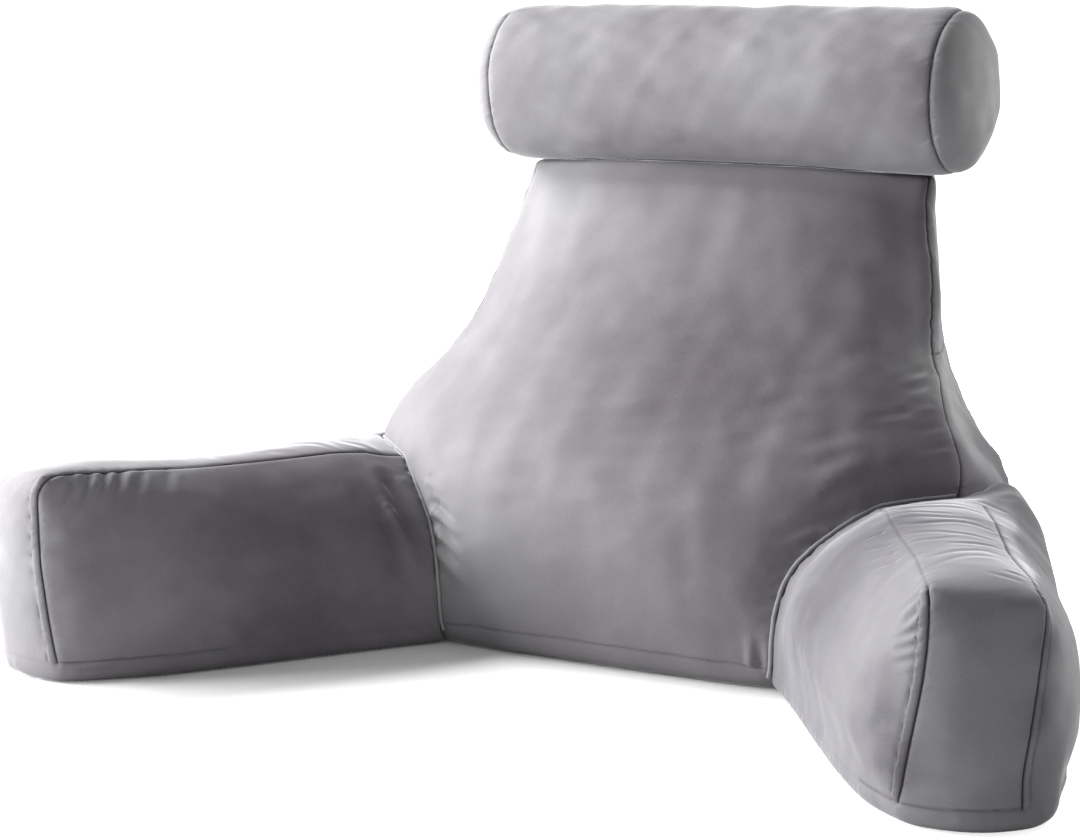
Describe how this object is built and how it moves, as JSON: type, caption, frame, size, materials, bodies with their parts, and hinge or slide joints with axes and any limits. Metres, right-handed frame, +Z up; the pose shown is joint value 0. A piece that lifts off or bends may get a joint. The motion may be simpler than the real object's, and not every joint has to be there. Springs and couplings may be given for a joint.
{
  "type": "reading pillow with arms",
  "caption": "Plush velvet reading pillow: a leaning backrest that flares at its foot, forward-splayed arms sewn to its sides, and a round neck roll across its top.",
  "frame": {"origin": "on the surface it rests on, under the middle of the backrest", "axes": "+X to the right in a front view, -Y the way the sitter faces and the arms reach, +Z up"},
  "size_m": [1.0396, 0.6544, 0.6157],
  "materials": {
    "backrest_velvet": "short plush velvet",
    "arm_velvet": "short plush velvet",
    "roll_velvet": "short plush velvet",
    "welt_velvet": "folded strip of the same velvet"
  },
  "bodies": {
    "root": {"backrest": "backrest_velvet", "arm_left": "arm_velvet", "arm_right": "arm_velvet", "neck_roll": "roll_velvet", "welt_left": "welt_velvet", "welt_right": "welt_velvet"}
  },
  "joints": []
}
